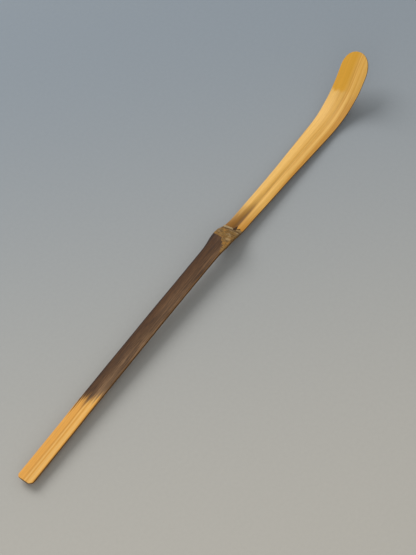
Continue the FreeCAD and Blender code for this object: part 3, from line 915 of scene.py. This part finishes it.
class TEASCOOP_OT_handle_skin(bpy.types.Operator):
    """Lay the pale and the smoked skin on the handle"""
    bl_idname = "teascoop.handle_skin"
    bl_label = "Handle Skin"

    def execute(self, context):
        scoop = strip()
        pieces = (
            ("pale_skin", "handle_rind_pale", "golden_rind", 0, scoop.pale, 90),
            ("smoked_skin", "handle_rind_smoked", "smoked_rind", scoop.pale, scoop.handle, 150),
        )

        def worn(edge):
            middle = (edge.verts[0].co + edge.verts[1].co) / 2
            outer = middle.z > -scoop.skin + 0.05
            joint = min(abs(middle.x - scoop.pale), abs(middle.x - scoop.handle)) < 0.01
            return creased(edge, 30) and outer and not joint

        for name, node, slot, start, end, cuts in pieces:
            shape = skin_piece(lambda share: start, end, cuts, 26)
            round_edges(shape, scoop.edge, worn)
            finish_piece(shape, name, node, skin_material)
        return {"FINISHED"}


# Lumps of the node: features to the millimetre along and across, a seed and a height.
LUMPS = ((1.1, 0.9, 4.0, 0.16), (2.6, 1.1, 9.0, 0.12), (6.0, 5.0, 2.0, 0.03))


class TEASCOOP_OT_node_ring(bpy.types.Operator):
    """Swell the node to its crest and roughen its slope"""
    bl_idname = "teascoop.node_ring"
    bl_label = "Node Ring"

    def execute(self, context):
        scoop = strip()
        shape = block(130, 44, 14)
        for vertex, part, share, depth in points(shape, 0.5):
            along = blend(scoop.handle, scoop.foot_at(share), part)
            inset = flesh_side(scoop, along, max(depth * 1.2 - 0.2, 0))
            across = share * width_at(scoop, along, share) * inset
            top = skin_top(scoop, along, across, abs(share))
            rough = ease(scoop.crest - 0.8, scoop.crest + 0.8, along) * (1 - depth)
            lump = sum(uneven(along * near, across * aside, seed) * height
                       for near, aside, seed, height in LUMPS)
            to_foot = scoop.foot_at(share) - along
            crease = 0.16 * math.exp(-((to_foot - 0.9) / 0.28) ** 2) * ease(-1.5, 0.5, across)
            lump -= crease + 0.14 * ease(0.45, 0.0, to_foot)
            vertex.co = (along, across, blend(top, scoop.back(along), depth) + lump * rough)
        round_edges(shape, scoop.edge, lambda e: creased(e)
                    and abs(e.verts[0].co.x - e.verts[1].co.x) > 0.001)
        finish_piece(shape, "node_ring_wood", "node_ring", node_material)
        return {"FINISHED"}


class TEASCOOP_OT_partition_stub(bpy.types.Operator):
    """Leave the trace of the partition in the back of the node"""
    bl_idname = "teascoop.partition_stub"
    bl_label = "Partition Stub"

    def execute(self, context):
        scoop = strip()
        shape = block(14, 20, 4)
        half_length, half_width, sunk, stands, roundness = 0.75, 1.15, 0.5, 0.12, 0.9
        middle = (scoop.crest + scoop.foot) / 2
        for vertex in shape.verts:
            x, y, z = vertex.co
            along = middle + half_length * draw_in(x, y, roundness)
            across = half_width * draw_in(y, x, roundness)
            depth = (1 - z) / 2
            back = scoop.back(along)
            low = back - stands + 0.05 * uneven(along * 2, across * 2, 3)
            vertex.co = (along, across, blend(back + sunk, low, depth))
        finish_piece(shape, "partition_stub", "diaphragm_stub", cork_material)
        return {"FINISHED"}


# Sheath scar along the strip, and the bud: its middle across, its length, half width and start before the
# scar's lower edge.
SCAR = 0.85
BUD_ACROSS = -0.5
BUD_LENGTH = 2.0
BUD_HALF = 0.62
BUD_BEFORE = 0.55


def crack(scoop, share):
    """Width of the crack between the scar and the skin: tight on the left, open right of the bud, torn."""
    tight, gape, notch, notch_across = 0.04, 0.34, 0.45, -1.85
    across = share * scoop.half_width(scoop.foot)
    open_part = ease(0.3, -0.2, across) * ease(-2.3, -1.7, across)
    ragged = 0.6 + 0.8 * uneven(across * 2.4, 5.0, 1.0)
    torn = notch * math.exp(-((across - notch_across) / 0.28) ** 2)
    return tight + gape * open_part * max(ragged, 0.15) + torn


class TEASCOOP_OT_sheath_scar(bpy.types.Operator):
    """Raise the thin corky rim of the sheath scar"""
    bl_idname = "teascoop.sheath_scar"
    bl_label = "Sheath Scar"

    def execute(self, context):
        scoop = strip()
        shape = block(10, 60, 3)
        for vertex, part, share, depth in points(shape, 0.4):
            ragged = 0.1 * uneven(share * 5.1, 6.0, 0.0) * part
            place = scoop.foot_at(share) + SCAR * part + ragged
            across = share * (width_at(scoop, place, share) + 0.01)
            ridge = 0.2 + 0.13 * uneven(share * 3.4, 1.0, 0.0)
            ridge *= 1 - (1 - 1.2 * part) ** 2
            ridge -= 0.5 * math.exp(-((across - BUD_ACROSS) / 0.5) ** 2) * part
            ridge -= 0.1 * uneven(place * 4, across * 5, 8.0)
            top = skin_top(scoop, place, across, abs(share)) + ridge - 0.06
            vertex.co = (place, across, blend(top, -scoop.skin, depth))
        finish_piece(shape, "sheath_scar_rim", "sheath_scar", cork_material)
        return {"FINISHED"}


class TEASCOOP_OT_bud_scar(bpy.types.Operator):
    """Set the dried bud at the foot of the groove"""
    bl_idname = "teascoop.bud_scar"
    bl_label = "Bud Scar"

    def execute(self, context):
        scoop = strip()
        shape = block(20, 12, 3)
        start = scoop.foot_at(BUD_ACROSS / scoop.half_width(scoop.foot)) + SCAR - BUD_BEFORE
        for vertex, part, share, depth in points(shape):
            along = start + BUD_LENGTH * part
            across = BUD_ACROSS + share * (BUD_HALF * (1 - part) ** 0.7 + 0.03)
            across += 0.06 * uneven(along * 2.5, share * 2, 0.0)
            swelling = 0.05 * (1 - share ** 2) * (1 - part) + 0.01
            top = skin_top(scoop, along, across, 0.1) + swelling
            vertex.co = (along, across, blend(top, -scoop.skin, depth))
        finish_piece(shape, "dried_bud", "bud_scar", bud_material)
        return {"FINISHED"}


class TEASCOOP_OT_stem_flesh(bpy.types.Operator):
    """Carve the wood of the stem, through the bend to the blade"""
    bl_idname = "teascoop.stem_flesh"
    bl_label = "Stem Flesh"

    def execute(self, context):
        scoop = strip()
        shape = flesh_piece(scoop.foot_at, scoop.tip, 260, 24)
        round_edges(shape, scoop.edge, lambda e: creased(e) and e.verts[0].co.z < -scoop.skin - 0.1
                    and min(v.co.x for v in e.verts) > scoop.foot + 0.9)
        finish_piece(shape, "stem_flesh", "stem_core", flesh_material)
        return {"FINISHED"}


class TEASCOOP_OT_stem_skin(bpy.types.Operator):
    """Lay the grooved skin on the stem, the bend and the blade"""
    bl_idname = "teascoop.stem_skin"
    bl_label = "Stem Skin"

    def execute(self, context):
        scoop = strip()
        shape = skin_piece(lambda share: scoop.foot_at(share) + SCAR + crack(scoop, share),
                           scoop.tip, 280, 60)
        round_edges(shape, scoop.edge, lambda e: creased(e)
                    and (e.verts[0].co.z + e.verts[1].co.z) / 2 > -scoop.skin + 0.05)
        finish_piece(shape, "stem_skin", "stem_rind", skin_material)
        return {"FINISHED"}


def floor_material(far, near):
    """Matt floor with painted light: a little warmer and lighter towards the camera, in place of the lamps'
    fall-off, with the faintest unevenness.
    """
    look = Finish("Plain matt floor")
    place = look.node("ShaderNodeTexCoord").outputs["Object"]
    texture = look.node("ShaderNodeTexNoise")
    look.feed(texture.inputs["Vector"], place)
    texture.inputs["Scale"].default_value = 900.0
    split = look.node("ShaderNodeSeparateXYZ")
    look.feed(split.inputs[0], place)
    away = look.sum(split.outputs["X"], split.outputs["Y"])
    # Painted light: the floor graded from the far colour to the near one.
    look.colour = look.mix(far, near, look.ramp(away, 0.16, -0.17))
    look.shade(texture.outputs["Fac"], 0.985, 1.015)
    return look.surface(0.75, 0.15)


def turned_to(place, target, roll=0.0):
    """A place that looks at a target, leant over by a roll."""
    look = (target - place).to_track_quat("-Z", "Y").to_matrix().to_4x4()
    return Matrix.Translation(place) @ look @ Matrix.Rotation(-roll, 4, "Z")


# Lamps: name, place and size in metres, and colour. The studio's places hold their strengths.
LAMPS = (
    ("key", (0.14, 0.74, 0.76), 0.8, (0.98, 0.98, 1.0)),
    ("fill", (-0.75, -0.45, 0.6), 0.9, (1.0, 0.97, 0.92)),
)
ROOM_COLOUR = (0.95, 0.97, 1.0, 1.0)
ROOM_STRENGTH = 0.55
FLOOR_HALF = 1.5
SENSOR_WIDTH = 36.0


class TEASCOOP_OT_stage(bpy.types.Operator):
    """Set out the floor, the soft lamps and the camera"""
    bl_idname = "teascoop.stage"
    bl_label = "Stage"

    def execute(self, context):
        scene = context.scene
        places = scene.studio_places
        self.make_floor(scene)
        for name, place, size, colour in LAMPS:
            self.make_lamp(scene, name, place, size, getattr(places, name), colour)
        world = bpy.data.worlds.new("Soft room")
        world.use_nodes = True
        sky = world.node_tree.nodes["Background"]
        sky.inputs["Color"].default_value = ROOM_COLOUR
        sky.inputs["Strength"].default_value = ROOM_STRENGTH
        scene.world = world
        scene.view_settings.view_transform = "Standard"
        self.make_camera(scene, places)
        return {"FINISHED"}

    def make_floor(self, scene):
        shape = bmesh.new()
        bmesh.ops.create_grid(shape, x_segments=8, y_segments=8, size=FLOOR_HALF)
        mesh = bpy.data.meshes.new("floor")
        shape.to_mesh(mesh)
        shape.free()
        colours = scene.scoop_colours
        mesh.materials.append(floor_material(colours.floor, colours.floor_near_painted_light))
        floor = bpy.data.objects.new("floor", mesh)
        scene.collection.objects.link(floor)

    def make_lamp(self, scene, name, place, size, power, colour):
        lamp = bpy.data.lights.new(name, "AREA")
        lamp.shape = "DISK"
        lamp.size = size
        lamp.energy = power
        lamp.color = colour
        thing = bpy.data.objects.new(name, lamp)
        scene.collection.objects.link(thing)
        thing.matrix_world = turned_to(Vector(place), Vector((0, 0, 0)))

    def make_camera(self, scene, places):
        level = math.cos(places.elevation)
        look = Vector((level * math.cos(places.azimuth), level * math.sin(places.azimuth),
                       -math.sin(places.elevation)))
        aim = Vector(places.aim) + Vector((CAD_BOX[0][0], 0, 0))
        camera = bpy.data.cameras.new("camera")
        camera.lens = places.lens
        camera.sensor_width = SENSOR_WIDTH
        camera.dof.use_dof = False
        thing = bpy.data.objects.new("camera", camera)
        scene.collection.objects.link(thing)
        thing.matrix_world = turned_to(aim - look * places.distance, aim, places.roll)
        scene.camera = thing


OPERATORS = (
    TEASCOOP_OT_handle_flesh,
    TEASCOOP_OT_handle_skin,
    TEASCOOP_OT_node_ring,
    TEASCOOP_OT_partition_stub,
    TEASCOOP_OT_sheath_scar,
    TEASCOOP_OT_bud_scar,
    TEASCOOP_OT_stem_flesh,
    TEASCOOP_OT_stem_skin,
    TEASCOOP_OT_stage,
)


class TEASCOOP_PT_panel(bpy.types.Panel):
    """Lists the steps of making the scoop"""
    bl_idname = "TEASCOOP_PT_panel"
    bl_label = "Tea Scoop"
    bl_space_type = "VIEW_3D"
    bl_region_type = "UI"
    bl_category = "Tea Scoop"

    def draw(self, context):
        for operator in OPERATORS:
            self.layout.operator(operator.bl_idname)


GROUPS = {
    "scoop_sizes": ScoopSizes,
    "scoop_colours": ScoopColours,
    "studio_places": StudioPlaces,
}


def register():
    for name, group in GROUPS.items():
        bpy.utils.register_class(group)
        setattr(bpy.types.Scene, name, bpy.props.PointerProperty(type=group))
    for operator in OPERATORS:
        bpy.utils.register_class(operator)
    bpy.utils.register_class(TEASCOOP_PT_panel)


def unregister():
    bpy.utils.unregister_class(TEASCOOP_PT_panel)
    for operator in reversed(OPERATORS):
        bpy.utils.unregister_class(operator)
    for name, group in GROUPS.items():
        delattr(bpy.types.Scene, name)
        bpy.utils.unregister_class(group)


def main():
    register()
    for operator in OPERATORS:
        group, name = operator.bl_idname.split(".")
        getattr(getattr(bpy.ops, group), name)()


if __name__ == "__main__":
    main()
